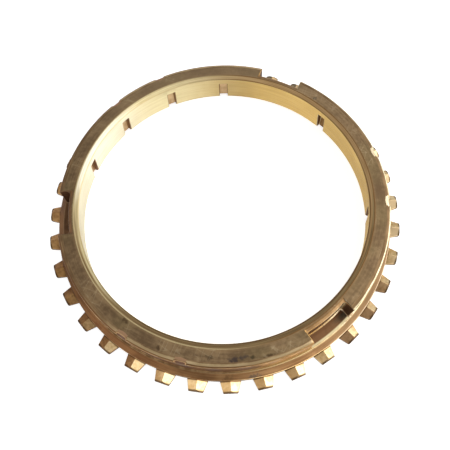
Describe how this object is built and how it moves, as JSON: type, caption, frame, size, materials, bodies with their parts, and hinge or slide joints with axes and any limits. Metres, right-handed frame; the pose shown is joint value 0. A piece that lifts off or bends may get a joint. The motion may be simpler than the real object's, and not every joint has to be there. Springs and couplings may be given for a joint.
{
  "type": "synchronizer ring",
  "caption": "Brass synchronizer ring with a conical bore, pointed teeth round its flange, key slots in its outer wall and oil grooves up the cone.",
  "frame": {"origin": "on the ring's axis, in the plane of the flat gear-side face that it rests on", "axes": "+Z along the ring's axis, from the gear side to the hub side; +X through the middle of a land between two key slots"},
  "size_m": [0.0798, 0.0798, 0.0084],
  "materials": {
    "brass": "as forged with a brown tarnish on the hub-side face, machined bright in the cone bore and on the edges"
  },
  "bodies": {
    "root": {"synchro_ring": "brass"}
  },
  "joints": []
}
